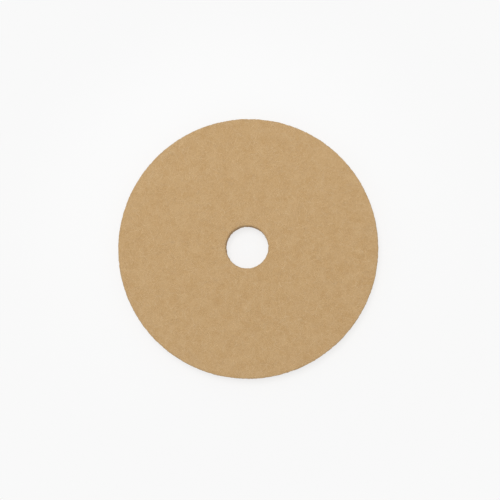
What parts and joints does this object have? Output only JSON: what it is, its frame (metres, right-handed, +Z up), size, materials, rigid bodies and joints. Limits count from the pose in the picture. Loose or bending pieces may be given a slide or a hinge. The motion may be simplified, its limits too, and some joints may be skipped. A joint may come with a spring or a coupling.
{
  "type": "floor polishing pad",
  "caption": "Round, thick, lofty non-woven fibre disc with a centre hole, gripped under a rotary floor machine to polish hard floors.",
  "frame": {"origin": "middle of the centre hole at the lower face, on which the pad lies", "axes": "+Z up through the thickness, along the hole; the pad is round, so +X and +Y are any two directions at right angles across it"},
  "size_m": [0.508, 0.508, 0.0254],
  "materials": {
    "pad_fibre": "matte"
  },
  "bodies": {
    "root": {"polishing_pad": "pad_fibre"}
  },
  "joints": []
}
